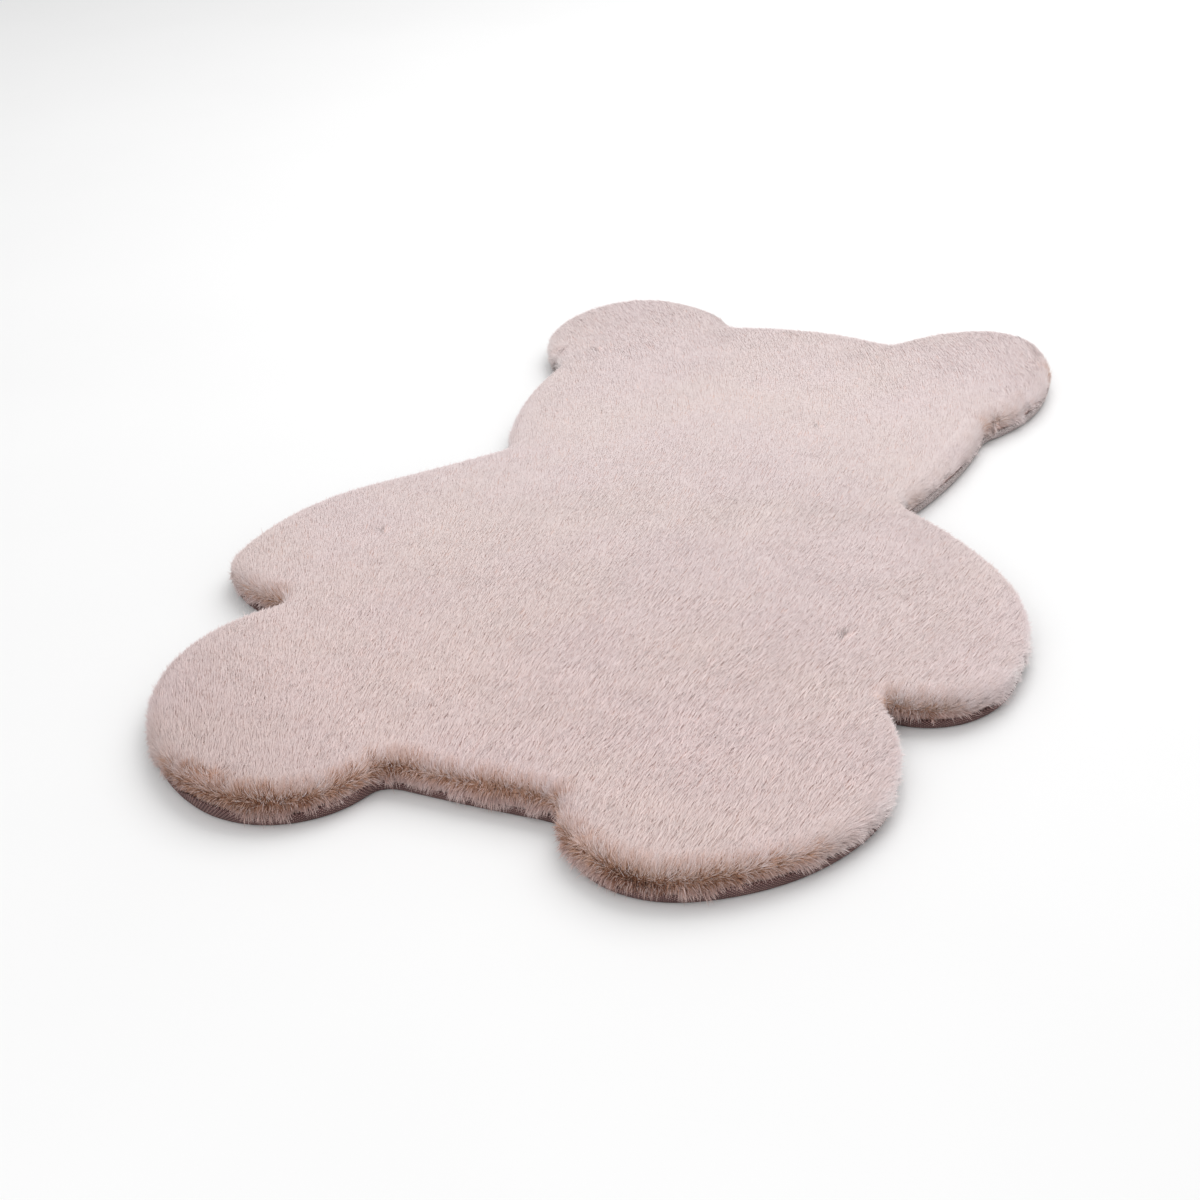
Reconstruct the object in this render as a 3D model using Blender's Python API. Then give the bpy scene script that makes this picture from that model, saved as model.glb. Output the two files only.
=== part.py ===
"""Bear-shaped faux-fur rug, lying flat on the floor.

Metres, +Z up. The head points along +Y. The origin is on the floor, under the middle of the rug's box.
Two pieces: the fur, a filled pad with a rolled rim, and the knitted backing, a shallow tray round its foot.
"""

import math

import bpy
from mathutils import Matrix, Vector
from mathutils.geometry import delaunay_2d_cdt

# ---------------------------------------------------------------- driving dimensions
PILE_TOP = 0.036  # floor to the tips of the fur
TOP_SWELL = 0.0008  # how far the flat of the pile rises and falls
TOP_SPACING = 0.055  # between the points inside the flat of the pile
BACKING_SHEET = 0.002  # the knitted cloth
GAP = 0.0003  # between the two pieces

EDGE_POINTS = 250  # round the whole edge
ARC_STEPS = 24  # in each stretch of the edge, before the points are set an equal way apart
NOTCH_PASSES = 2  # of softening, which round the notches between the limbs

# The edge at its widest, from the crown of the head down each side to the crotch. A row ends one stretch: its
# distance from the middle line, its place along the rug, and how far the stretch bows out over half its chord.
# The two sides differ by the few millimetres by which the rug lies uneven.
RIGHT_SIDE = (
    # stretch, across, along, bow
    ("crown", 0.000, 0.523, 0.00),
    ("ear, inner foot", 0.104, 0.504, 0.09),
    ("ear, top", 0.188, 0.572, 0.16),
    ("ear, side", 0.269, 0.547, 0.35),
    ("ear, outer foot", 0.260, 0.320, 0.33),
    ("neck", 0.220, 0.102, 0.10),
    ("shoulder", 0.331, 0.009, 0.06),
    ("arm, tip", 0.398, -0.192, 0.23),
    ("arm, lower corner", 0.386, -0.227, 0.10),
    ("armpit", 0.296, -0.267, 0.34),
    ("leg, side", 0.343, -0.408, 0.17),
    ("leg, foot", 0.222, -0.565, 0.26),
    ("crotch, corner", 0.083, -0.496, 0.46),
    ("crotch", 0.000, -0.494, 0.00),
)
LEFT_SIDE = (
    # stretch, across, along, bow
    ("crown", 0.000, 0.523, 0.00),
    ("ear, inner foot", 0.093, 0.510, 0.07),
    ("ear, top", 0.186, 0.572, 0.20),
    ("ear, side", 0.269, 0.546, 0.26),
    ("ear, outer foot", 0.259, 0.349, 0.44),
    ("neck", 0.229, 0.118, 0.13),
    ("shoulder", 0.327, 0.006, -0.02),
    ("arm, tip", 0.395, -0.187, 0.21),
    ("arm, lower corner", 0.382, -0.217, 0.17),
    ("armpit", 0.297, -0.260, 0.18),
    ("leg, side", 0.345, -0.409, 0.25),
    ("leg, foot", 0.224, -0.566, 0.24),
    ("crotch, corner", 0.080, -0.489, 0.50),
    ("crotch", 0.000, -0.494, 0.00),
)

# Sections through the edge, from below upwards: how far in from the widest line, and the height.
BACKING_OUTSIDE = (
    # inset, height
    (0.0090, 0.0000),
    (0.0060, 0.0020),
    (0.0040, 0.0060),
    (0.0030, 0.0110),
)
BACKING_INSIDE = (
    # inset, height
    (0.0095, BACKING_SHEET),
    (0.0075, 0.0040),
    (0.0060, 0.0070),
    (0.0050, 0.0110),
)
FUR_ROLL = (
    # inset, height
    (0.0010, 0.0110 + GAP),
    (0.0000, 0.0140),
    (0.0005, 0.0200),
    (0.0030, 0.0260),
    (0.0080, 0.0310),
    (0.0160, 0.0345),
    (0.0270, PILE_TOP),
)

# Material, linear colour, roughness
FUR = ("dusty pink faux fur", (0.69, 0.55, 0.53), 0.90)
KNIT = ("dark mauve knit", (0.085, 0.045, 0.050), 0.95)
SHARP_ANGLE = math.radians(50)


# ---------------------------------------------------------------- the edge
def arc(start, end, bow):
    """Points from start up to, not including, end, along an arc that bows to the left of the way."""
    chord = end - start
    if bow == 0:
        return [start + chord * step / ARC_STEPS for step in range(ARC_STEPS)]
    turn = 4 * math.atan(bow)
    radius = chord.length / (2 * math.sin(turn / 2))
    left = Vector((-chord.y, chord.x)).normalized()
    centre = (start + end) / 2 - left * radius * math.cos(turn / 2)
    spoke = start - centre
    return [centre + Matrix.Rotation(-turn * step / ARC_STEPS, 2) @ spoke for step in range(ARC_STEPS)]


def evenly(points, count):
    """The closed line through the points, as count points an equal way apart."""
    loop = points + points[:1]
    reached = [0.0]
    for before, after in zip(loop, loop[1:]):
        reached.append(reached[-1] + (after - before).length)
    even = []
    stretch = 0
    for number in range(count):
        way = reached[-1] * number / count
        while reached[stretch + 1] < way:
            stretch += 1
        share = (way - reached[stretch]) / (reached[stretch + 1] - reached[stretch])
        even.append(loop[stretch].lerp(loop[stretch + 1], share))
    return even


def softened(points):
    """Each point of a closed line moved towards its neighbours, which rounds the notches."""
    count = len(points)
    return [(points[i - 1] + 2 * points[i] + points[(i + 1) % count]) / 4 for i in range(count)]


def centred(points):
    """The points moved so that the middle of their box is at the origin."""
    across = [point.x for point in points]
    along = [point.y for point in points]
    middle = Vector((min(across) + max(across), min(along) + max(along))) / 2
    return [point - middle for point in points]


def edge_line():
    """The widest line of the rug, clockwise seen from above, from the crown."""
    down_right = [(Vector((across, along)), bow) for _, across, along, bow in RIGHT_SIDE]
    up_left = [(Vector((-across, along)), bow) for _, across, along, bow in reversed(LEFT_SIDE)]
    points = []
    for (start, _), (end, bow) in zip(down_right, down_right[1:]):
        points += arc(start, end, bow)
    for (start, bow), (end, _) in zip(up_left, up_left[1:]):
        points += arc(start, end, bow)
    points = evenly(points, 2 * EDGE_POINTS)
    for _ in range(NOTCH_PASSES):
        points = softened(points)
    return centred(points[::2])


def inset(line, distance):
    """A clockwise line moved into the rug by a distance."""
    moved = []
    for i, point in enumerate(line):
        way = line[(i + 1) % len(line)] - line[i - 1]
        inwards = Vector((way.y, -way.x)).normalized()
        moved.append(point + inwards * distance)
    return moved


def is_inside(point, line):
    """Whether a point lies within a closed line."""
    within = False
    for i, end in enumerate(line):
        start = line[i - 1]
        if (start.y > point.y) != (end.y > point.y):
            crossing = start.x + (point.y - start.y) * (end.x - start.x) / (end.y - start.y)
            within ^= point.x < crossing
    return within


# ---------------------------------------------------------------- closed bodies
def swell(point):
    """How far the flat of the pile rises at a point: a low, uneven wave."""
    lengthways = math.sin(13 * point.y + 2 * math.sin(7 * point.x))
    slanting = math.sin(11 * point.x + 5 * point.y)
    return TOP_SWELL * (lengthways + slanting) / 2


def uneven_top(line):
    """The flat of the pile inside a closed line: the points added inside it, and the triangles over all points."""
    count = len(line)
    row_height = TOP_SPACING * math.sqrt(3) / 2
    reach = int(max(point.length for point in line) / row_height) + 1
    added = []
    for row in range(-reach, reach + 1):
        for column in range(-reach, reach + 1):
            point = Vector(((column + row % 2 / 2) * TOP_SPACING, row * row_height))
            if not is_inside(point, line):
                continue
            if min((point - other).length for other in line) > TOP_SPACING / 2:
                added.append(point)
    sides = [(i, (i + 1) % count) for i in range(count)]
    _, _, triangles, _, _, _ = delaunay_2d_cdt(line + added, sides, [], 1, 1e-6)
    return added, triangles


def ring_walls(rings):
    """The vertices of rings, each (line, height), and the faces between them."""
    count = len(rings[0][0])
    vertices = []
    faces = []
    for line, height in rings:
        vertices += [(point.x, point.y, height) for point in line]
    for low in range(0, (len(rings) - 1) * count, count):
        for i in range(count):
            after = (i + 1) % count
            faces.append((low + i, low + count + i, low + count + after, low + after))
    return vertices, faces


def add_piece(name, vertices, faces, finish):
    """One named object from its vertices and faces, with its own plain cloth finish."""
    label, colour, roughness = finish
    material = bpy.data.materials.new(label)
    material.use_nodes = True
    shader = material.node_tree.nodes["Principled BSDF"]
    shader.inputs["Base Color"].default_value = (*colour, 1.0)
    shader.inputs["Roughness"].default_value = roughness
    shader.inputs["Metallic"].default_value = 0.0
    material.diffuse_color = (*colour, 1.0)
    mesh = bpy.data.meshes.new(name)
    mesh.from_pydata(vertices, [], faces)
    mesh.shade_smooth()
    mesh.set_sharp_from_angle(angle=SHARP_ANGLE)
    mesh.materials.append(material)
    bpy.context.scene.collection.objects.link(bpy.data.objects.new(name, mesh))


def make_backing(edge):
    """The knitted backing: flat on the floor, turned up round the edge, open above."""
    outside = [(inset(edge, distance), height) for distance, height in BACKING_OUTSIDE]
    inside = [(inset(edge, distance), height) for distance, height in BACKING_INSIDE]
    vertices, faces = ring_walls(outside + inside[::-1])
    floor_side = range(len(edge))
    fur_side = range(len(vertices) - len(edge), len(vertices))
    faces += [tuple(floor_side), tuple(reversed(fur_side))]
    add_piece("backing", vertices, faces, KNIT)


def make_fur(edge):
    """The fur: a filled pad that stands in the backing, leans out over its rim and rolls over to the flat top."""
    foot = [(inset(edge, distance + GAP), height + GAP) for distance, height in BACKING_INSIDE]
    roll = [(inset(edge, distance), height) for distance, height in FUR_ROLL]
    vertices, faces = ring_walls(foot + roll)
    first_of_top = len(vertices) - len(edge)
    added, triangles = uneven_top(roll[-1][0])
    vertices += [(point.x, point.y, PILE_TOP + swell(point)) for point in added]
    faces += [tuple(range(len(edge)))]
    faces += [tuple(first_of_top + corner for corner in triangle) for triangle in triangles]
    add_piece("fur_pile", vertices, faces, FUR)


def main():
    for thing in list(bpy.data.objects):
        bpy.data.objects.remove(thing)
    edge = edge_line()
    make_backing(edge)
    make_fur(edge)


main()
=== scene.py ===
"""Looks of the bear-shaped faux-fur rug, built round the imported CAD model.

Metres, +Z up. The head points along +Y, and the rug lies on the floor, at z = 0.
The knitted backing is a closed sheet, and the underfur a closed pad in it. The pile is strands rooted on the
underfur, joined into one piece for each part of the bear. A strand is a small lock of hair: a flat blade of
two triangles, with one bend.
"""

import math

import bpy
import numpy as np
from mathutils import Matrix, Vector
from mathutils.geometry import delaunay_2d_cdt


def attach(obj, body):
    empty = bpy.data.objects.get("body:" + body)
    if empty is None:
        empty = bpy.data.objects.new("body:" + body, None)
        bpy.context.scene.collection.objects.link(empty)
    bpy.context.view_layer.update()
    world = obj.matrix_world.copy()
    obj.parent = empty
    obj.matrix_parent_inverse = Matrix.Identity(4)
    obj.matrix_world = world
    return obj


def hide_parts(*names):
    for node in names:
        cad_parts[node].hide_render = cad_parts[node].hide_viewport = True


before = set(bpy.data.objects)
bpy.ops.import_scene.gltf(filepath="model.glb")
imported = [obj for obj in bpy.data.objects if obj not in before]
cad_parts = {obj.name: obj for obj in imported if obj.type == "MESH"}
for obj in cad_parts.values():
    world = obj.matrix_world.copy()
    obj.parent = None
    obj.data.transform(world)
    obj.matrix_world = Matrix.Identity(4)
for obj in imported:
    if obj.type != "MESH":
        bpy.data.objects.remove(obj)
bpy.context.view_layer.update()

SEED = 1207

# ---------- the rug's plan
WIDEST_HEIGHT = 0.014  # where the CAD fur is widest
LINE_STEPS = 12  # of the fine edge line between two points of the CAD's
GRID_STEP = 0.002  # of the map of distances to the edge
GRID_MARGIN = 4  # steps of it beyond the edge
LATTICE_SIDE = 1024  # cells of a random field, each way, before it repeats

# ---------- the underfur
# Rows of inset, from the rug's widest line, and height: over the roll and down into the backing.
UNDERFUR_SECTION = (
    (0.0240, 0.0312),
    (0.0175, 0.0307),
    (0.0120, 0.0288),
    (0.0082, 0.0250),
    (0.0062, 0.0200),
    (0.0056, 0.0155),
    (0.0060, 0.0118),
)
TOP_INSET, TOP_HEIGHT = UNDERFUR_SECTION[0]
UNDERFUR_FOOT = (
    (0.0066, 0.0075),
    (0.0082, 0.0045),
    (0.0102, 0.0023),
)
UNDERFUR_RINGS, UNDERFUR_RIM_POINTS = 13, 900  # down the section, and in each ring
UNDERFUR_SPACING = 0.009  # between the points inside the flat top
SWELL = 0.0016  # how far the flat top rises and falls
SWELL_INSET = 0.045  # how far in from the widest line it does so in full
RIDGE_RISE = 0.0004  # how far the faint ridges across it rise and fall
RIDGE_SLANT = 0.10  # how far they drop along the rug for each metre across it
RIDGE_PAINTED_SHADE = 0.08  # and the painted light and shade of their hair: how much lighter and darker it is

# ---------- the backing, in the same rows
BACKING_THICKNESS, RIM_HEIGHT = 0.002, 0.011
BACKING_OUTSIDE = (
    (0.0090, 0.0000),
    (0.0072, 0.0006),
    (0.0060, 0.0020),
    (0.0047, 0.0045),
    (0.0036, 0.0080),
    (0.0030, RIM_HEIGHT),
)
BACKING_INSIDE = (
    (0.0095, BACKING_THICKNESS),
    (0.0075, 0.0040),
    (0.0060, 0.0070),
    (0.0050, RIM_HEIGHT),
)
BACKING_RIM_POINTS = 1100
CLOTH_RISE = 1.2  # of the knit's pattern for each metre up the rim
RIM_WAVES = (7, 16, 29, 47)  # waves round the rug that the turned-up rim's wave is made of
RIM_WAVE = 0.0012  # how far it rises and falls
RIM_SWAY = 0.3  # of that, in and out
RIM_RISE = 0.0060  # how much higher it stands where it shows
RIM_SPREAD = 0.0015  # and how much further out

# ---------- the pile
TOP_STRANDS, RIM_STRANDS = 290_000, 172_000
TOP_LENGTH, RIM_LENGTH, FRINGE_LENGTH = 0.0130, 0.0130, 0.0105  # the fringe is the lowest strands
TOP_WIDTH, RIM_WIDTH = 0.00068, 0.00055
LENGTH_SPREAD, WIDTH_SPREAD = 0.16, 0.22
TOP_LEANS = (69, 86)  # degrees from upright, below and above the bend of a strand
RIM_LEANS = (66, 82)
BEND = 0.45  # of the way along a strand
LEAN_SPREAD, TURN_SPREAD = 3.5, 8  # how far strands side by side differ in lean and direction, in degrees
LOOSE_LEAN, LOOSE_TURN = 12, 10  # how much more the loose ones differ
LOOSE_STAND, SIDE_STAND = 0.30, 0.18  # how much less loose ones lean, and those at the side
RUFFLED, SMOOTH = 1.80, 0.50  # times the difference, in lightness too, in ruffled patches and in smooth ones
RUFFLES = ((0.7, 0.016, 17), (0.5, 0.006, 18))  # a random field: rows of share, size of patch and number
SWIRL = 9  # how far whole patches of the pile turn, in degrees
SWIRLS = ((0.6, 0.045, 1), (0.4, 0.017, 2))
ROLL_SPREAD = 14  # how far a blade turns about its own length, in degrees
LOCK_SIZE, RIM_LOCK_SIZE = 0.0055, 0.0030  # the tips gather into locks of about this width
GATHER, RIM_GATHER = 0.06, 0.45  # how far on the way to a lock's middle
TOUSLE = 34  # how far whole locks at the side turn, in degrees
TOUSLES = ((0.6, 0.011, 15), (0.4, 0.005, 16))
LOWEST_TIP, HIGHEST_TIP = 0.0012, 0.0450
ROOT_DEPTH = 0.0008

# A strand's points: the root, a left and a right one at the bend, and the tip.
KITE = (0, 1, 2, 2, 1, 3)  # its two triangles
REACH = np.array((0.0, BEND, BEND, 1.0))
ACROSS = np.array((0.0, -1.0, 1.0, 0.0))

# Towards the head the pile lies smoother, and strands side by side differ less.
CALMEST = 0.14  # of the difference at the feet that is left at the head
CALM_FROM, CALM_TO = -0.52, 0.24  # along the rug
CALM_SLANT = 0.25  # how far those rise for each metre across it
CALM_LEAN = 0.10  # how much further a strand leans where there is none left
CALM_TONE, CALM_SHADE = 0.95, 0.23  # the tone at its root there, and how much darker it is

NORMAL_SHARE = 0.22  # of the blade's own normal; the rest is the underfur's
LEVEL_SHARE = 0.71  # of a level surface's normal in that, because hair on a slope is lit much as on the flat

# Tone runs from 0, brown, to 1, pale; the strands go past 0.8 only through painted light at the outward
# sides. Shade is a strand's own lightness, with painted light and shade added to it in places.
TOP_TONE, RIM_TONE, FOOT_TONE = 0.84, 0.86, 0.76  # at the root
PALING = 0.8  # the power of the way along a strand by which its tone rises
MIDDLE_SHADE, SHADE_SPREAD = 0.58, 0.05
DARKEST_SHADE = -0.9
SIDE_PAINTED_LIGHT = 0.22  # painted light: how much lighter the hair at the sides is made, against the shade there
ODD_SHARE = 0.042  # of the strands are much paler than the rest, and as many much darker
ODD_SHADE = 0.29  # how much
ODD_LENGTH, ODD_WIDTH = 1.40, 0.85  # times the rest's, on the top

# The lie of the pile, which fans out from the feet: its direction in plan, in degrees from +X.
NAP_MIDDLE, NAP_ACROSS, NAP_ALONG = 90, -44, 30
NAP_SPREAD, NAP_TWIST, NAP_HEAD = 79, 60, 77

# The edge. Inside the parting the pile lies along the nap, and outside it falls over the rim.
PARTING_FOOT_PLACE = 0.0205  # how far down the underfur's section, where the nap runs away from the edge
PARTING_SIDE_PLACE = 0.0215  # and where it runs beside it
PARTING_WANDER = 0.0022  # how far it wanders from there
WANDERS = ((0.6, 0.022, 5), (0.4, 0.009, 6))
PARTING_WIDTH = 0.0035  # half of it
PARTING_FUZZ = 0.0026  # how far strands side by side differ in where they part
LOOSE = 0.0065  # how far from the parting the strands stand loose
STRAY_SHARE, STRAY_LENGTH = 0.015, 1.4  # of the strands at the edge, and times the rest's
RAGS = ((0.28, 0.020, 11), (0.25, 0.006, 12))  # how the fringe's length changes along the edge
BROWN_ABOVE, BROWN_BELOW = 0.0125, 0.0075  # how far the brown lower hair shows from the parting
BROWN_STRANDS = 0.65  # of the strands there are brown

# Something about the hair sets in down the underfur's section: from where, and by where in full.
THIN, STEEP, STANDING = (0.004, 0.014), (0.006, 0.016), (0.004, 0.020)
TOUSLED, DENSE, SHIFTED = (0.008, 0.018), (0.009, 0.018), (0.002, 0.010)
# the first of these is where the painted haze of light on the outward sides sets in, and the second where
# the painted light that lifts the sides' shade does
PAINTED_HAZE, PAINTED_LIFT = (0.012, 0.022), (0.012, 0.024)

# Short slits where the pile has been nudged apart: where, and how long.
NUDGES = (
    ("right arm", 0.236, -0.182, 0.018),
    ("left arm", -0.264, -0.109, 0.012),
    ("left ear", -0.224, 0.389, 0.012),
    ("head", 0.088, 0.247, 0.009),
)
NUDGE_WIDTH = 0.0035
NUDGE_PUSH = 1.2  # how hard the hair is pushed away from a slit, beside its own lean of 1
NUDGE_PAINTED_SHADOW = 2.2  # painted shadow: how much darker the hair is on one side of a slit
NUDGE_PAINTED_LIGHT = 0.9  # and painted light: how much lighter on the other
NUDGE_SHADOW_TONE = 0.10  # how much deeper the tone under the painted shadow is
# Spots at the side where the hair stands out all round from a brown middle: where, how far, and how brown.
TUFTS = (
    ("left leg", -0.208, -0.551, 0.010, 0.80),
    ("right leg", 0.128, -0.541, 0.007, 0.12),
    ("right ear", 0.265, 0.336, 0.010, 0.22),
    ("left ear", -0.278, 0.380, 0.009, 0.15),
)
TUFT_STRENGTH = 0.8  # of the change at a tuft's middle
# Stretches of the edge that differ: where, half their length, how much the backing shows under a short
# fringe, how much browner the hair is than elsewhere, and how much lower it parts.
STRETCHES = (
    # place, across, along, half length, bare, browner, lower
    ("left leg, side", -0.325, -0.460, 0.060, 0.00, -0.60, 0.0),
    ("left leg, outer foot", -0.205, -0.562, 0.036, 1.00, 0.00, -0.0020),
    ("left leg, inner foot", -0.105, -0.524, 0.040, 0.45, -0.08, 0.0),
    ("crotch", -0.020, -0.500, 0.036, 0.00, -0.50, 0.0),
    ("crotch, right end", 0.045, -0.497, 0.040, 0.00, -0.35, 0.0),
    ("right leg, inner foot", 0.127, -0.530, 0.030, 0.00, 0.10, 0.0005),
    ("right leg, middle", 0.190, -0.570, 0.050, 0.00, 0.00, 0.0035),
    ("right leg, outer foot", 0.268, -0.530, 0.045, 0.45, -0.12, 0.0010),
    ("right leg, side", 0.325, -0.450, 0.065, 0.00, -0.55, 0.0030),
    ("right arm, root", 0.295, -0.280, 0.030, 0.00, 0.10, -0.0030),
    ("right arm, lower side", 0.345, -0.260, 0.060, 0.00, -0.48, 0.0065),
    ("right arm, tip", 0.400, -0.205, 0.045, 0.00, -0.50, 0.0000),
    ("head, right side", 0.240, 0.185, 0.065, 0.40, -0.90, 0.0050),
    ("right ear, foot", 0.265, 0.345, 0.035, 0.20, -0.75, 0.0010),
    ("right ear, side", 0.300, 0.410, 0.060, 0.40, -0.95, 0.0050),
    ("left arm, tip", -0.344, -0.235, 0.045, 0.00, -0.60, 0.0020),
    ("left arm, root", -0.290, -0.240, 0.030, 0.00, -0.30, 0.0060),
)

# ---------- the parts of the bear
NECK_Y, HIP_Y = 0.110, -0.265  # above them are the head and the body, and below them the legs
MAP_CELLS = 16  # of the bake's map, each way
MAP_STRAND_WIDTH = 0.09  # of a cell

# ---------- camera, floor and light
LENS, SENSOR = 66.18, 36.0
AZIMUTH, ELEVATION, ROLL = 22.840, 29.057, -3.240  # degrees
TARGET = Vector((-0.0262, -0.1244, 0.0))
DISTANCE = 2.1542
FLOOR_SIDE, FLOOR_ROUGHNESS = 14.0, 0.9
FLOOR_DROP = 0.0003  # below the rug
WORLD_LIGHT = 0.61
LIGHTS = (
    # name, place, side, power
    ("key", (0.3, 1.7, 2.5), 2.6, 54.0),
    ("fill", (0.2, -2.5, 1.7), 2.4, 22.0),
)


# ========== numbers over the plan
rng = np.random.default_rng(SEED)


def unit(vectors):
    """The vectors at length 1."""
    return vectors / np.maximum(np.linalg.norm(vectors, axis=-1, keepdims=True), 1e-9)


def smoothstep(low, high, value):
    """0 up to low, 1 from high, and a smooth rise between them."""
    share = np.clip((value - low) / (high - low), 0, 1)
    return share * share * (3 - 2 * share)


def level(across, along):
    """Level vectors from their parts."""
    return np.column_stack([across, along, np.zeros(len(across))])


def between(values, start, end, u, v):
    """A grid's values at the shares u and v of the way from start to end."""
    (i, j), (after_i, after_j) = start, end
    near = values[i, j] * (1 - u) + values[after_i, j] * u
    far = values[i, after_j] * (1 - u) + values[after_i, after_j] * u
    return near * (1 - v) + far * v


def cells(across, along, size):
    """Places counted in cells of a size, and the whole numbers below them."""
    a, b = across / size + LATTICE_SIDE / 2, along / size + LATTICE_SIDE / 2
    return a, b, np.floor(a).astype(int), np.floor(b).astype(int)


def lattice(across, along, size, number):
    """A smooth random field with patches of about size, from -1 to 1."""
    values = np.random.default_rng(SEED + number).uniform(-1, 1, (LATTICE_SIDE, LATTICE_SIDE))
    a, b, i, j = cells(across, along, size)
    u, v = smoothstep(0, 1, a - i), smoothstep(0, 1, b - j)
    i, j = i % LATTICE_SIDE, j % LATTICE_SIDE
    return between(values, (i, j), ((i + 1) % LATTICE_SIDE, (j + 1) % LATTICE_SIDE), u, v)


def mottle(across, along, fields):
    """Random fields added up, from rows of share, size and number."""
    return sum(share * lattice(across, along, size, number) for share, size, number in fields)


def cad_line():
    """The widest line of the CAD fur, its points in order, clockwise seen from above."""
    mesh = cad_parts["fur_pile"].data
    places = [tuple(round(number, 5) for number in vertex.co) for vertex in mesh.vertices]
    beside = {place: set() for place in places if abs(place[2] - WIDEST_HEIGHT) < 1e-4}
    for edge in mesh.edges:
        one, other = (places[index] for index in edge.vertices)
        if one != other and one in beside and other in beside:
            beside[one].add(other)
            beside[other].add(one)
    start = max(beside, key=lambda place: place[1])
    line = [start, max(beside[start])]
    while len(line) < len(beside):
        line.append(next(place for place in sorted(beside[line[-1]]) if place != line[-2]))
    return np.array(line)[:, :2]


class Outline:
    """The rug's widest line, finely stepped, and each place's distance to it."""

    def __init__(self):
        self.points = self.fine(cad_line())
        steps = np.roll(self.points, -1, 0) - self.points
        self.way = np.concatenate([[0], np.cumsum(np.linalg.norm(steps, axis=1))])
        self.length = self.way[-1]
        near = 4  # points on either side give the line's direction
        along = unit(np.roll(self.points, -near, 0) - np.roll(self.points, near, 0))
        self.inwards = np.stack([along[:, 1], -along[:, 0]], 1)
        turn = np.cross(along, np.roll(along, -2 * near, 0))
        self.bend = np.roll(turn, near) / (2 * near * self.length / len(self.points))
        self.chart()

    @staticmethod
    def fine(line):
        """More points on a smooth curve through those of a closed line."""
        share = np.arange(LINE_STEPS)[None, :, None] / LINE_STEPS
        a, b, c, d = (np.roll(line, step, 0)[:, None] for step in (1, 0, -1, -2))
        curve = b + share * (c - a) / 2 + share**2 * (a - 2.5 * b + 2 * c - d / 2)
        curve = curve + share**3 * (1.5 * (b - c) + (d - a) / 2)
        return curve.reshape(-1, 2)

    def ways(self, count):
        """Distances along the line at equal steps."""
        return np.arange(count) / count * self.length

    def at(self, way):
        """The points, the inward directions and the bends at distances along the line."""
        place = np.interp(way % self.length, self.way, np.arange(len(self.way)))
        low = np.floor(place).astype(int) % len(self.points)
        high = (low + 1) % len(self.points)
        share = (place % 1)[:, None]
        point = self.points[low] * (1 - share) + self.points[high] * share
        inwards = unit(self.inwards[low] * (1 - share) + self.inwards[high] * share)
        return point, inwards, self.bend[low]

    def chart(self):
        """Fills the grid of distances inwards from the line."""
        self.corner = self.points.min(0) - GRID_MARGIN * GRID_STEP
        wide, high = (np.ptp(self.points, axis=0) / GRID_STEP).astype(int) + 2 * GRID_MARGIN + 1
        across = self.corner[0] + np.arange(wide) * GRID_STEP
        coarse = self.points[::3].astype(np.float32)
        after = np.roll(coarse, -1, 0)
        self.distance = np.zeros((wide, high))
        for row in range(high):
            along = self.corner[1] + row * GRID_STEP
            gap = (across[:, None] - coarse[:, 0]) ** 2 + (along - coarse[:, 1]) ** 2
            passes = (coarse[:, 1] > along) != (after[:, 1] > along)
            start, end = coarse[passes], after[passes]
            share = (along - start[:, 1]) / (end[:, 1] - start[:, 1])
            crossings = start[:, 0] + share * (end[:, 0] - start[:, 0])
            inside = (across[:, None] < crossings).sum(1) % 2 * 2 - 1
            self.distance[:, row] = np.sqrt(gap.min(1)) * inside

    def inset(self, across, along):
        """How far places lie inwards from the line."""
        a = (across - self.corner[0]) / GRID_STEP
        b = (along - self.corner[1]) / GRID_STEP
        wide, high = self.distance.shape
        i = np.clip(np.floor(a).astype(int), 0, wide - 2)
        j = np.clip(np.floor(b).astype(int), 0, high - 2)
        u, v = np.clip(a - i, 0, 1), np.clip(b - j, 0, 1)
        return between(self.distance, (i, j), (i + 1, j + 1), u, v)


class Section:
    """The underfur's section as a smooth curve from the flat top down, by distance along it."""

    def __init__(self, rows):
        curve = np.array(rows)
        for _ in range(3):
            curve = self.cut(curve)
        self.curve = curve
        steps = np.linalg.norm(np.diff(curve, axis=0), axis=1)
        self.way = np.concatenate([[0], np.cumsum(steps)])
        self.length = self.way[-1]

    @staticmethod
    def cut(curve):
        """The curve with each corner cut a quarter of the way along its sides."""
        first = curve[:-1] * 0.75 + curve[1:] * 0.25
        second = curve[:-1] * 0.25 + curve[1:] * 0.75
        middle = np.stack([first, second], 1).reshape(-1, 2)
        return np.concatenate([curve[:1], middle, curve[-1:]])

    def at(self, way):
        """Inset and height at distances down the section."""
        return np.interp(way, self.way, self.curve[:, 0]), np.interp(way, self.way, self.curve[:, 1])

    def down(self, way):
        """The direction down the section: its outward and upward parts."""
        step = 0.0012
        inset_a, height_a = self.at(np.clip(way - step, 0, self.length))
        inset_b, height_b = self.at(np.clip(way + step, 0, self.length))
        return unit(np.stack([inset_a - inset_b, height_b - height_a], -1))


def nap_angle(across, along):
    """The pile's direction in plan, in radians from +X, with its patches."""
    degrees = NAP_MIDDLE + NAP_ACROSS * across + NAP_ALONG * along
    degrees = degrees + NAP_SPREAD * across**2 + NAP_TWIST * across * along + NAP_HEAD * along**2
    return np.radians(degrees + SWIRL * mottle(across, along, SWIRLS))


def ridges(across, along):
    """Faint uneven ridges across the rug, from -1 to 1."""
    place = along + RIDGE_SLANT * across
    return 0.7 * lattice(across / 7, place, 0.013, 19) + 0.5 * lattice(across / 5, place, 0.007, 20)


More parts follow.
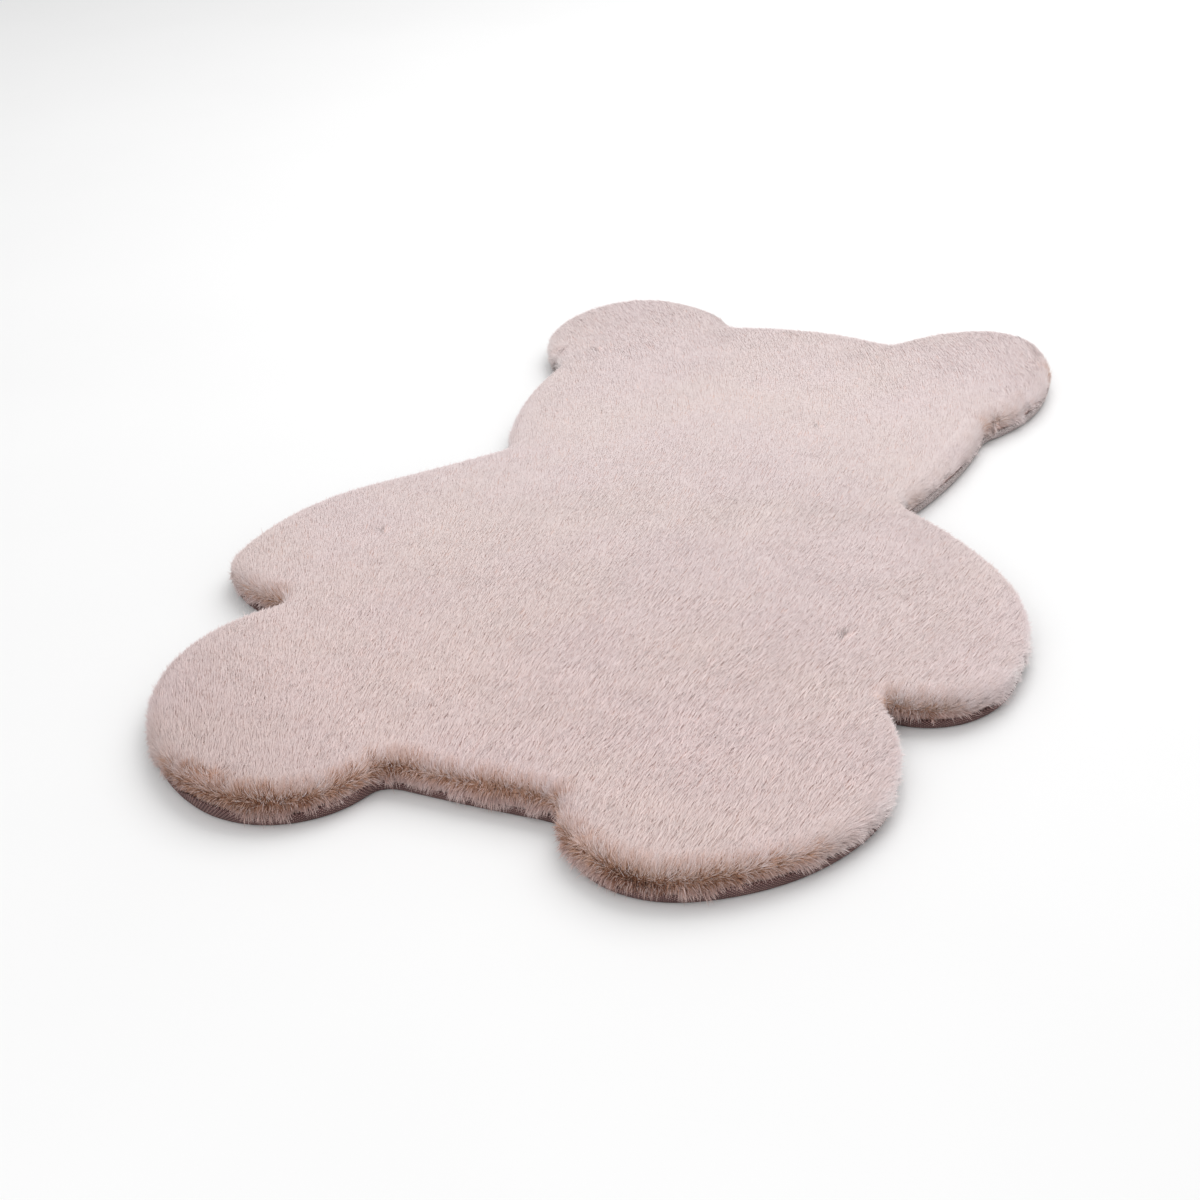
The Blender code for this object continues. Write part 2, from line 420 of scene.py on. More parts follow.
def contrast(across, along):
    """How much strands side by side differ: 1 at the feet, and less towards the head."""
    return 1 - (1 - CALMEST) * smoothstep(CALM_FROM, CALM_TO, along - CALM_SLANT * across)


def swell(across, along):
    """How far the underfur's flat top rises: broad low waves, soft lumps and faint ridges."""
    broad = np.sin(23 * along + 6 * across + 2 * np.sin(9 * across))
    lumps = lattice(across, along, 0.05, 3)
    return SWELL * (0.45 * broad + 0.30 * lumps) + RIDGE_RISE * ridges(across, along)


def top_height(across, along):
    """The height of the underfur's flat top."""
    fade = smoothstep(TOP_INSET, SWELL_INSET, outline.inset(across, along))
    return TOP_HEIGHT + fade * swell(across, along)


# ========== meshes and materials
def link(obj):
    """The object, once it is in the scene."""
    bpy.context.scene.collection.objects.link(obj)
    return obj


def make_mesh(name, vertices, corners, counts, material):
    """An object. corners lists the corners of one face after another, and counts how many each face has."""
    mesh = bpy.data.meshes.new(name)
    mesh.vertices.add(len(vertices))
    mesh.vertices.foreach_set("co", np.asarray(vertices, np.float32).ravel())
    mesh.loops.add(len(corners))
    mesh.loops.foreach_set("vertex_index", np.asarray(corners, np.int32))
    mesh.polygons.add(len(counts))
    starts = np.concatenate([[0], np.cumsum(counts)[:-1]])
    mesh.polygons.foreach_set("loop_start", starts.astype(np.int32))
    mesh.update(calc_edges=True)
    mesh.materials.append(material)
    return link(bpy.data.objects.new(name, mesh))


def put(mesh, name, kind, values):
    """A named number or vector for each vertex, which the materials read."""
    field = "value" if kind == "FLOAT" else "vector"
    layer = mesh.attributes.new(name, kind, "POINT")
    layer.data.foreach_set(field, np.asarray(values, np.float32).ravel())


SHEEN_ROUGHNESS = 0.5


class Nodes:
    """Adds nodes to a material, and links or sets their inputs."""

    def __init__(self, name, roughness):
        self.material = bpy.data.materials.new(name)
        self.material.use_nodes = True
        self.tree = self.material.node_tree
        self.shader = self.tree.nodes["Principled BSDF"]
        self.feed(self.shader, "Roughness", roughness)

    def add(self, kind, settings=None, **inputs):
        """A node with its settings, and with inputs by name, or by number as in i0 and i1."""
        node = self.tree.nodes.new("ShaderNode" + kind)
        for name, value in (settings or {}).items():
            setattr(node, name, value)
        for name, value in inputs.items():
            numbered = name[0] == "i" and name[1:].isdigit()
            self.feed(node, int(name[1:]) if numbered else name.replace("_", " "), value)
        return node

    def feed(self, node, name, value):
        """Links or sets an input."""
        socket = node.inputs[name]
        if isinstance(value, bpy.types.NodeSocket):
            self.tree.links.new(value, socket)
        else:
            socket.default_value = value

    def finish(self, colour, roughness, specular, bump=None, sheen=None):
        """The material, once its shader is fed."""
        inputs = {"Base Color": colour, "Roughness": roughness, "Specular IOR Level": specular}
        if bump:
            inputs["Normal"] = self.add("Bump", **bump).outputs[0]
        if sheen:
            inputs.update({"Sheen Weight": sheen, "Sheen Roughness": SHEEN_ROUGHNESS})
        for name, value in inputs.items():
            self.feed(self.shader, name, value)
        return self.material

    def place(self):
        """Places on the object, in metres."""
        return self.add("TexCoord").outputs["Object"]

    def read(self, name, output="Fac"):
        """A mesh's own number or vector."""
        return self.add("Attribute", {"attribute_name": name}).outputs[output]

    def split(self, vector):
        """The three parts of a vector."""
        return self.add("SeparateXYZ", i0=vector).outputs

    def maths(self, operation, one, other=0.0):
        """A calculation with one number or two."""
        return self.add("Math", {"operation": operation}, i0=one, i1=other).outputs[0]

    def times(self, one, other):
        """Two numbers multiplied."""
        return self.maths("MULTIPLY", one, other)

    def tinted(self, one, other):
        """Two colours multiplied."""
        return self.mix(1.0, one, other, "MULTIPLY")

    def ramp(self, value, stops):
        """A colour ramp from (place, colour) rows."""
        node = self.add("ValToRGB", i0=value)
        marks = node.color_ramp.elements
        marks[0].position, marks[1].position = stops[0][0], stops[-1][0]
        marks[0].color, marks[1].color = (*stops[0][1], 1), (*stops[-1][1], 1)
        for place, colour in stops[1:-1]:
            marks.new(place).color = (*colour, 1)
        return node.outputs[0]

    def noise(self, vector, scale, detail=2.0, roughness=0.5):
        """A random field; scale is patches a metre."""
        node = self.add("TexNoise", Vector=vector, Scale=scale, Detail=detail, Roughness=roughness)
        return node.outputs["Fac"]

    def spread(self, value, low, high, start=0.3, end=0.7):
        """A number between start and end taken to between low and high."""
        node = self.add("MapRange", Value=value, From_Min=start, From_Max=end, To_Min=low, To_Max=high)
        return node.outputs[0]

    def mix(self, share, one, other, blend="MIX"):
        """Two colours mixed."""
        settings = {"data_type": "RGBA", "blend_type": blend}
        return self.add("Mix", settings, i0=share, i6=one, i7=other).outputs[2]


# Fur colours, linear, from the root of a strand to its tip
ROOT_BROWN = (0.200, 0.082, 0.047)
LOWER_BROWN = (0.450, 0.240, 0.165)
MIDDLE_ROSE = (0.665, 0.450, 0.382)
TIP_ROSE = (0.858, 0.745, 0.742)
# the strands reach this palest colour only through the painted light at the outward sides
TIP_PAINTED_HAZE = (0.935, 0.880, 0.875)
BEIGE_TINT = (1.005, 0.998, 0.978)
PINK_TINT = (1.001, 0.989, 0.990)
# Painted shade: the fur is darker and rosier towards the feet, most of all at the left foot
FOOT_PAINTED_SHADE = (
    # colour, slant across the rug, where along it the tint is full, and where it ends
    ((0.955, 0.925, 0.920), 0.4, -0.66, -0.05),
    ((0.870, 0.855, 0.850), 0.8, -0.74, -0.54),
)
LOW_TINT = (0.930, 0.985, 1.110)  # the lowest hair is more mauve
PARTED_TINT = (1.020, 1.000, 0.920)  # and the brown above it more golden
FUR_TONES = ((0.0, ROOT_BROWN), (0.24, LOWER_BROWN), (0.50, MIDDLE_ROSE), (0.80, TIP_ROSE), (1.0, TIP_PAINTED_HAZE))
WHITE = (1.0, 1.0, 1.0)
HEIGHT_TINTS = ((0.0, LOW_TINT), (0.40, LOW_TINT), (0.62, PARTED_TINT), (0.74, PARTED_TINT), (1.0, WHITE))
TINTED_HEIGHT = 0.036  # where those tints end


def fur_tint(nodes, place, tone):
    """Patches of beige and pink, painted shade that darkens the fur towards the feet and most at the left
    foot, and the brown hair's tints by height.
    """
    patch = nodes.spread(nodes.noise(place, 7.0, 3.0), 0.0, 1.0, 0.38, 0.62)
    tint = nodes.mix(patch, (*BEIGE_TINT, 1), (*PINK_TINT, 1))
    across, along, height = nodes.split(place)
    # painted shade towards the feet
    for colour, slant, most, least in FOOT_PAINTED_SHADE:
        slanted = nodes.maths("ADD", along, nodes.times(across, slant))
        tint = nodes.mix(nodes.spread(slanted, 1.0, 0.0, most, least), tint, (*colour, 1), "MULTIPLY")
    by_height = nodes.ramp(nodes.spread(height, 0.0, 1.0, 0.0, TINTED_HEIGHT), HEIGHT_TINTS)
    brown_tint = nodes.mix(nodes.spread(tone, 1.0, 0.0, 0.40, 0.66), (*WHITE, 1), by_height)
    return nodes.tinted(tint, brown_tint)


def strand_material():
    """The strands: brown to pale from root to tip, each a little different, with fine hairs along it."""
    nodes = Nodes("fur_strands", 0.8)
    tone = nodes.read("tone")
    across, reach, shade = nodes.split(nodes.read("hair", "Vector"))
    colour = nodes.tinted(nodes.ramp(tone, FUR_TONES), fur_tint(nodes, nodes.place(), tone))
    fibre_place = nodes.add("CombineXYZ", X=across, Y=reach, Z=nodes.times(shade, 40.0)).outputs[0]
    fibres = nodes.noise(fibre_place, 2.6, 1.0)
    lightness = nodes.spread(shade, 0.42, 1.14, DARKEST_SHADE, 1.0)
    lightness = nodes.times(lightness, nodes.spread(fibres, 0.97, 1.03))
    grey = nodes.add("CombineColor", Red=lightness, Green=lightness, Blue=lightness).outputs[0]
    bump = {"Strength": 0.25, "Distance": 0.0002, "Height": fibres}
    return nodes.finish(nodes.tinted(colour, grey), nodes.spread(fibres, 0.62, 0.82), 0.25, bump, sheen=0.2)


def underfur_material():
    """The dense short hair between the strands: fine streaks along the nap, brown where the pile parts."""
    nodes = Nodes("fur_under", 0.85)
    place = nodes.place()
    drawn_out = nodes.add("Mapping", Vector=place, Scale=(900.0, 130.0, 600.0)).outputs[0]
    streaks = nodes.noise(drawn_out, 1.0, 3.0, 0.6)
    patches = nodes.noise(place, 60.0, 3.0, 0.6)
    specks = nodes.noise(place, 1500.0, 2.0, 0.6)
    browned = nodes.times(nodes.read("parting"), nodes.spread(specks, 0.42, 0.76))
    tone = nodes.maths("SUBTRACT", nodes.spread(streaks, 0.56, 0.76), browned)
    tone = nodes.maths("ADD", tone, nodes.spread(patches, -0.05, 0.05))
    colour = nodes.tinted(nodes.ramp(tone, FUR_TONES), fur_tint(nodes, place, tone))
    bump = {"Strength": 0.6, "Distance": 0.001, "Height": streaks}
    return nodes.finish(colour, nodes.spread(streaks, 0.78, 0.95), 0.2, bump)


KNIT_DARK = (0.075, 0.028, 0.027)
KNIT_LIGHT = (0.450, 0.265, 0.240)
KNIT_PITCH = 0.0037  # from one loop to the next along the edge
LINT_AND_PAINTED_LIGHT = (0.960, 0.870, 0.855)  # pale hair caught on the knit, made paler as painted light that lifts the rim's shade
LINT_AND_LIGHT_FROM_TO = (-0.10, 0.16)  # along the rug, where it begins and where it is thickest


def knit_material():
    """The backing: a fine dark mauve knit, with small loops in slanting rows."""
    nodes = Nodes("backing_knit", 0.9)
    cloth = nodes.read("cloth", "Vector")
    across, along, _ = nodes.split(cloth)
    slants = (nodes.maths(way, across, along) for way in ("ADD", "SUBTRACT"))
    waves = (nodes.maths("SINE", nodes.times(slant, 2 * math.pi / KNIT_PITCH)) for slant in slants)
    height = nodes.times(*(nodes.maths("ADD", wave, 1.0) for wave in waves))
    fuzz = nodes.noise(cloth, 1900.0, 2.0)
    wear = nodes.noise(cloth, 26.0, 3.0)
    height = nodes.maths("ADD", height, nodes.spread(fuzz, -0.7, 0.7))
    shade = nodes.spread(height, 0.0, 0.85, 0.2, 3.2)
    shade = nodes.maths("ADD", shade, nodes.spread(wear, -0.10, 0.16))
    colour = nodes.ramp(shade, ((0.0, KNIT_DARK), (1.0, KNIT_LIGHT)))
    _, headwards, _ = nodes.split(nodes.place())
    # pale lint specks towards the head, partly painted light on the rim's shade
    specks = nodes.spread(nodes.noise(cloth, 520.0, 2.0), 0.1, 1.0, 0.40, 0.52)
    lint_and_light = nodes.times(nodes.spread(headwards, 0.0, 0.7, *LINT_AND_LIGHT_FROM_TO), specks)
    colour = nodes.mix(lint_and_light, colour, (*LINT_AND_PAINTED_LIGHT, 1))
    bump = {"Strength": 0.7, "Distance": 0.0006, "Height": height}
    return nodes.finish(colour, nodes.spread(fuzz, 0.8, 0.98), 0.15, bump, sheen=0.1)


# ========== the closed pieces
def ring(count, inset, height, wave=0.0):
    """A ring of points round the rug. wave is how much of the rim's rise and fall it takes."""
    way = outline.ways(count)
    point, inwards, _ = outline.at(way)
    circle = way / outline.length * 2 * math.pi
    rise = sum(np.sin(turns * circle + turns) for turns in RIM_WAVES) / 2.4  # about -1 to 1
    bare, _, _ = stretch_notes(point)
    out = wave * (RIM_SWAY * RIM_WAVE * rise + RIM_SPREAD * bare)
    place = point + inwards * (inset - out)[:, None]
    return np.column_stack([place, height + wave * (RIM_WAVE * rise + RIM_RISE * bare)])


def walls(rings):
    """The faces between rings of equal count, stacked one after another."""
    count = len(rings[0])
    here = np.arange(count)
    after = (here + 1) % count
    faces = np.stack([here, count + here, count + after, after], 1)
    return np.concatenate([low + faces for low in range(0, (len(rings) - 1) * count, count)])


def make_backing():
    """The knitted backing: flat underneath, turned up round the edge."""
    count = BACKING_RIM_POINTS
    rings, cloth = [], []
    for rows, floor in ((BACKING_OUTSIDE, 0.0), (BACKING_INSIDE[::-1], BACKING_THICKNESS)):
        for inset, height in rows:
            rings.append(ring(count, inset, height, (height - floor) / (RIM_HEIGHT - floor)))
            cloth.append(level(outline.ways(count), np.full(count, height * CLOTH_RISE - inset)))
    cloth[0][:, :2] = rings[0][:, :2]
    cloth[-1][:, :2] = rings[-1][:, :2]
    vertices = np.concatenate(rings)
    sides = walls(rings)
    floor_side = np.arange(count)
    fur_side = np.arange(len(vertices) - count, len(vertices))[::-1]
    corners = np.concatenate([sides.ravel(), floor_side, fur_side])
    counts = [4] * len(sides) + [count, count]
    backing = make_mesh("backing_knit", vertices, corners, counts, knit_material())
    put(backing.data, "cloth", "FLOAT_VECTOR", np.concatenate(cloth))
    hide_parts("backing")
    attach(backing, "root")


def make_underfur():
    """The pad of dense hair in the backing, on which the strands are rooted."""
    down = np.linspace(0, section.length, UNDERFUR_RINGS)
    insets, heights = section.at(down)
    count = UNDERFUR_RIM_POINTS
    rings = [ring(count, inset, height) for inset, height in UNDERFUR_FOOT[::-1]]
    rings += [ring(count, inset, height) for inset, height in zip(insets[::-1], heights[::-1])]
    vertices = np.concatenate(rings)
    sides = walls(rings)
    edge = [Vector(point[:2]) for point in rings[-1]]
    low, high = outline.points.min(0), outline.points.max(0)
    columns, rows = (np.arange(low[axis], high[axis], UNDERFUR_SPACING) for axis in (0, 1))
    across, along = np.meshgrid(columns, rows)
    across[::2] += UNDERFUR_SPACING / 2
    across, along = across.ravel(), along.ravel()
    kept = outline.inset(across, along) > TOP_INSET + UNDERFUR_SPACING / 2
    across, along = across[kept], along[kept]
    inside = [Vector(place) for place in zip(across, along)]
    loop = [(number, (number + 1) % count) for number in range(count)]
    top = delaunay_2d_cdt(edge + inside, loop, [], 1, 1e-6)[2]
    top = np.array(top) + len(vertices) - count
    vertices = np.concatenate([vertices, np.column_stack([across, along, top_height(across, along)])])
    corners = np.concatenate([sides.ravel(), np.arange(count), top.ravel()])
    counts = [4] * len(sides) + [count] + [3] * len(top)
    underfur = make_mesh("underfur", vertices, corners, counts, underfur_material())
    parted = np.zeros(len(vertices))
    for number, distance in enumerate(down[::-1]):
        start = (len(UNDERFUR_FOOT) + number) * count
        roots = rim_roots(outline.ways(count), np.full(count, distance))
        shown = brownness(roots["below"], roots["brown"])
        covered = smoothstep(0.0, 0.004, roots["below"]) * (0.05 + 0.95 * np.clip(roots["brown"], 0, 1))
        parted[start:start + count] = np.maximum(shown, covered)
    foot = len(UNDERFUR_FOOT) * count
    parted[:foot] = np.tile(parted[foot:foot + count], len(UNDERFUR_FOOT))
    put(underfur.data, "parting", "FLOAT", parted)
    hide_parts("fur_pile")
    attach(underfur, "root")


# ========== the strands
def stretch_notes(point):
    """By edge points: how far the backing shows, times as brown the hair is, and how much lower it parts."""
    bare, browner, lower = np.zeros(len(point)), np.ones(len(point)), np.zeros(len(point))
    for _, across, along, half, shows, brown, drop in STRETCHES:
        near = 1 - smoothstep(0.5 * half, 1.2 * half, np.hypot(point[:, 0] - across, point[:, 1] - along))
        bare = np.maximum(bare, shows * near)
        browner = browner + brown * near
        lower = lower + drop * near
    return bare, np.maximum(browner, 0), lower


def tufted(plan, normal, lean, below, brown):
    """The lean, the place below the parting and the brownness of roots, as the tufts change them."""
    for _, across, along, size, middle_brown in TUFTS:
        away = level(plan[:, 0] - across, plan[:, 1] - along)
        near = TUFT_STRENGTH * np.exp(-((np.linalg.norm(away, axis=1) / size) ** 2))
        away = unit(away - normal * (away * normal).sum(1, keepdims=True))
        lean = unit(lean * (1 - near)[:, None] + away * near[:, None])
        below = below * (1 - near)
        brown = brown + (middle_brown - brown) * near
    return lean, below, brown


def rim_roots(way, down, fuzz=0.0):
    """Roots on the roll and side of the underfur, from distances along the edge and down the section."""
    point, inwards, _ = outline.at(way)
    inset, height = section.at(down)
    plan = point + inwards * inset[:, None]
    fall = section.down(down)
    outwards = -inwards
    out = np.column_stack([outwards * fall[:, :1], fall[:, 1]])
    side = level(-inwards[:, 1], inwards[:, 0])
    normal = np.column_stack([outwards * -fall[:, 1:], fall[:, 0]])
    angle = nap_angle(plan[:, 0], plan[:, 1])
    heading = np.column_stack([np.cos(angle), np.sin(angle)])
    facing = (heading * outwards).sum(1)  # -1 where the nap runs straight inwards
    beside = (heading * side[:, :2]).sum(1)
    nap = out * facing[:, None] + side * beside[:, None]
    footwards = smoothstep(0.35, 0.95, -facing)
    bare, browner, lower = stretch_notes(point)
    centre = PARTING_SIDE_PLACE + (PARTING_FOOT_PLACE - PARTING_SIDE_PLACE) * footwards
    centre = centre + PARTING_WANDER * mottle(way, way * 0, WANDERS) + lower
    over = smoothstep(-1, 1, (down - centre + fuzz) / PARTING_WIDTH)
    sideways = beside * 1.1 + 0.35 * lattice(way, way * 0, 0.026, 10)
    falling = unit(out * (0.20 + 0.80 * footwards)[:, None] + side * sideways[:, None])
    lean = nap * (1 - over)[:, None] + falling * over[:, None]
    tousle = TOUSLE * mottle(way, down, TOUSLES) * smoothstep(*TOUSLED, down)
    lean = turned(lean, normal, np.radians(tousle))
    patchy = 0.90 + 0.30 * lattice(way, way * 0, 0.030, 4)
    brown = smoothstep(0.10, 0.80, -facing) * patchy * browner
    below = down - centre
    lean, below, brown = tufted(plan, normal, lean, below, brown)
    outer = smoothstep(-0.25, 0.15, facing)  # 1 where it runs outwards
    return {
        "root": np.column_stack([plan, height]),
        "normal": normal,
        "lean": lean,
        "below": below,
        "onwards": (lean * out).sum(1),
        "brown": brown,
        "streak": 1.05 + 0.85 * lattice(way, down * 0.2, 0.0024, 14),
        "opened": down * 0,
        "bare": bare,
        "over": over,
        "footwards": footwards,
        "stand": SIDE_STAND * smoothstep(*STANDING, down),
        "loose": footwards * np.exp(-(((down - centre) / LOOSE) ** 2)),
        # painted light: the outward sides' hair is paled towards its tips, as a backlit haze
        "pale": outer * smoothstep(*PAINTED_HAZE, down),
        # painted light that lifts the shade of the sides, and of stretches with little brown
        "lit": np.maximum(outer, smoothstep(0.45, 0.15, browner)) * smoothstep(*PAINTED_LIFT, down),
    }


def brownness(below, brown, streak=1.0):
    """How brown the hair is at distances below the parting, above it where negative."""
    reach = np.where(below < 0, BROWN_ABOVE * streak * (0.35 + 0.65 * np.clip(brown, 0, 1)), BROWN_BELOW)
    return brown * np.exp(-((below / reach) ** 2))


def top_roots(across, along):
    """Roots on the flat top of the underfur."""
    step = GRID_STEP
    height = top_height(across, along)
    slope_x = (top_height(across + step, along) - top_height(across - step, along)) / (2 * step)
    slope_y = (top_height(across, along + step) - top_height(across, along - step)) / (2 * step)
    normal = unit(np.column_stack([-slope_x, -slope_y, np.ones(len(across))]))
    angle = nap_angle(across, along)
    lean = level(np.cos(angle), np.sin(angle))
    none = np.zeros(len(across))
    opened = none.copy()
    for _, nudge_x, nudge_y, slit in NUDGES:
        direction = nap_angle(np.array([nudge_x]), np.array([nudge_y]))[0]
        x, y = across - nudge_x, along - nudge_y
        forward = (x * math.cos(direction) + y * math.sin(direction)) / slit * 2
        sideways = (y * math.cos(direction) - x * math.sin(direction)) / NUDGE_WIDTH
        aside = np.exp(-forward**2 - sideways**2) * np.tanh(2 * sideways)
        push = NUDGE_PUSH * aside
        lean += level(-math.sin(direction) * push, math.cos(direction) * push)
        # the slits' painted shadow where positive, and painted light where negative
        opened += aside
    lean = lean / np.maximum(np.linalg.norm(lean, axis=1, keepdims=True), 1)
    root = np.column_stack([across, along, height])
    lean, below, brown = tufted(root[:, :2], normal, lean, none - PARTING_SIDE_PLACE, none)
    roots = {name: none for name in ("onwards", "stand", "loose", "pale", "lit", "shift")}
    roots.update(root=root, normal=normal, lean=lean, opened=opened)
    roots.update(below=below, brown=brown, streak=none + 1, droop=none[:, None])
    return roots


def towards_locks(across, along, size, number):
    """The way from places to the middle of the nearest lock, and the lock's own number from 0 to 1."""
    middles = np.random.default_rng(SEED + number).uniform(0.1, 0.9, (LATTICE_SIDE, LATTICE_SIDE, 3))
    a, b, i, j = cells(across, along, size)
    best = np.full(len(a), 9.0)
    to_a, to_b, own = a.copy(), b.copy(), a * 0
    for di in (-1, 0, 1):
        for dj in (-1, 0, 1):
            middle = middles[(i + di) % LATTICE_SIDE, (j + dj) % LATTICE_SIDE]
            x, y = i + di + middle[:, 0], j + dj + middle[:, 1]
            gap = (x - a) ** 2 + (y - b) ** 2
            nearer = gap < best
            best = np.where(nearer, gap, best)
            to_a, to_b = np.where(nearer, x, to_a), np.where(nearer, y, to_b)
            own = np.where(nearer, middle[:, 2], own)
    return (to_a - a) * size, (to_b - b) * size, own / 0.8 - 0.125  # own was from 0.1 to 0.9


def turned(vectors, axes, angles):
    """Vectors turned about unit axes."""
    cos, sin = np.cos(angles)[:, None], np.sin(angles)[:, None]
    dot = (vectors * axes).sum(1, keepdims=True)
    return vectors * cos + np.cross(axes, vectors) * sin + axes * dot * (1 - cos)


def grow(roots, lengths, widths, leans, pull):
    """The strands' points and normals, in arrays of (strands, 4, 3)."""
    count = len(lengths)
    normal, loose = roots["normal"], roots["loose"]
    spread = TURN_SPREAD * roots["ruffle"] + LOOSE_TURN * loose
    lean = turned(roots["lean"], normal, np.radians(rng.normal(0, 1, count) * spread))
    extra = rng.normal(0, 1, count) * (LEAN_SPREAD * roots["contrast"] + LOOSE_LEAN * loose)
    roll = np.radians(rng.normal(0, ROLL_SPREAD, count) * roots["contrast"])
    upright = roots["stand"] + LOOSE_STAND * loose - CALM_LEAN * (1 - roots["contrast"])
    root = roots["root"] - normal * ROOT_DEPTH
    ways = []
    for angle in leans:
        angle = np.radians(np.clip(angle * (1 - upright) + extra, 3, 89))[:, None]
        ways.append(normal * np.cos(angle) + lean * np.sin(angle))
    ways[1] = unit(ways[1] + roots["droop"] * np.array([0, 0, -1.0]))
    bend = root + ways[0] * (lengths * BEND)[:, None] + pull * BEND**1.5  # the pull grows towards the tip
    tip = bend + ways[1] * (lengths * (1 - BEND))[:, None] + pull * (1 - BEND**1.5)
    sides = [turned(unit(np.cross(way, normal) + 1e-6), way, roll) for way in ways]
    faces = [unit(np.cross(side, way)) for side, way in zip(sides, ways)]
    half = sides[0] * (widths / 2)[:, None]
    points = np.stack([root, bend + half, bend - half, tip], 1)
    points[:, :, 2] = np.clip(points[:, :, 2], LOWEST_TIP, HIGHEST_TIP)
    return points, np.stack([normal, faces[0], faces[0], faces[1]], 1)


def odd_ones(count):
    """1 for the strands much paler than the rest, -1 for those much darker, and 0 for the rest."""
    return rng.choice((-1, 0, 1), count, p=(ODD_SHARE, 1 - 2 * ODD_SHARE, ODD_SHARE))


def varied(count, spread, most):
    """Random factors round 1, from a half to most."""
    return np.clip(rng.normal(1, spread, count), 0.5, most)


def tones(roots, lengths, deep):
    """The tone at each point of the strands; deep is the tone at the root where nothing changes it."""
    count = len(lengths)
    deep = CALM_TONE - (CALM_TONE - deep) * roots["contrast"]
    start = deep + rng.normal(0, 0.03, count) * roots["contrast"]
    tone = start[:, None] + (1 - start)[:, None] * REACH**PALING
    gone = REACH * lengths[:, None] * 0.85  # how far from its root each point lies in plan
    below = roots["below"][:, None] + roots["onwards"][:, None] * gone
    brown_one = rng.uniform(0, 1, count) < BROWN_STRANDS
    amount = np.where(brown_one, rng.uniform(0.7, 1.4, count), rng.uniform(0.0, 0.5, count)) * roots["brown"]
    streak = roots["streak"] * rng.uniform(0.6, 1.3, count)
    # painted shadow at the slits, in tone too
    tone -= NUDGE_SHADOW_TONE * np.maximum(roots["opened"], 0)[:, None]
    tone += roots["shift"][:, None] - 0.15 * brownness(roots["below"], amount)[:, None]
    tone -= (1.0 - 0.30 * REACH) * brownness(below, amount[:, None], streak[:, None])
    lower = roots["brown"] * rng.uniform(0.0, 1.7, count)
    tone -= (0.30 - 0.22 * REACH) * lower[:, None] * smoothstep(0.002, 0.009, below)
    # the last term is painted light at the outward sides
    return np.clip(tone, 0, 1) * 0.8 + 0.20 * roots["pale"][:, None] * REACH


def shades(roots):
    """The strands' own lightness."""
    contrast_here, opened = roots["contrast"], roots["opened"]
    own = SHADE_SPREAD * rng.normal(0, 1, len(opened)) + ODD_SHADE * roots["odd"]
    # painted light and shade along the faint ridges
    ridge_painted_shade = RIDGE_PAINTED_SHADE * ridges(*roots["root"][:, :2].T) * (0.4 + 0.6 * contrast_here)
    shade = MIDDLE_SHADE - CALM_SHADE * (1 - contrast_here) + ridge_painted_shade + roots["ruffle"] * own
    # painted light on the sides' hair
    shade = np.clip(shade + SIDE_PAINTED_LIGHT * roots["lit"], 0, 1)
    # painted shadow on one side of each slit, painted light on the other
    return np.clip(shade - np.where(opened > 0, NUDGE_PAINTED_SHADOW, NUDGE_PAINTED_LIGHT) * opened, DARKEST_SHADE, 1)


def strands(roots, lengths, widths, leans, pull, deep):
    """The strands from one lot of roots: all that a piece's mesh needs of each."""
    across, along = roots["root"][:, 0], roots["root"][:, 1]
    browned = np.clip(1.5 * roots["brown"], 0, 1)
    ruffled = np.maximum(smoothstep(-0.1, 0.6, mottle(across, along, RUFFLES)), browned)
    roots["contrast"] = np.maximum(contrast(across, along), browned)
    roots["ruffle"] = (SMOOTH + (RUFFLED - SMOOTH) * ruffled) * roots["contrast"]
    points, faces = grow(roots, lengths, widths, leans, pull)
    ground = unit(roots["normal"] * (1 - LEVEL_SHARE) + np.array([0, 0, LEVEL_SHARE]))[:, None, :]
    share = NORMAL_SHARE * roots["contrast"][:, None, None]
    normals = unit(faces * share + ground * (1 - share))
    tone = tones(roots, lengths, deep)
    hair = np.stack(np.broadcast_arrays(ACROSS, REACH, shades(roots)[:, None]), 2)
    return {"points": points, "normals": normals, "tone": tone, "hair": hair, "plan": roots["root"][:, :2]}


def top_strands():
    """The strands of the flat top."""
    low, high = outline.points.min(0), outline.points.max(0)
    across, along = (rng.uniform(low[axis], high[axis], TOP_STRANDS * 2) for axis in (0, 1))
    kept = outline.inset(across, along) > TOP_INSET
    across, along = across[kept][:TOP_STRANDS], along[kept][:TOP_STRANDS]
    roots = top_roots(across, along)
    count = len(across)
    patchy = 1 + 0.08 * lattice(across, along, 0.012, 7)
    lengths = TOP_LENGTH * patchy * varied(count, LENGTH_SPREAD, 1.5)
    widths = TOP_WIDTH * varied(count, WIDTH_SPREAD, 1.7)
    roots["odd"] = odd_ones(count)
    lengths = lengths * np.where(roots["odd"] == 0, 1, ODD_LENGTH)
    widths = widths * np.where(roots["odd"] == 0, 1, ODD_WIDTH)
    x, y, _ = towards_locks(across, along, LOCK_SIZE, 8)
    return strands(roots, lengths, widths, TOP_LEANS, GATHER * level(x, y), TOP_TONE)


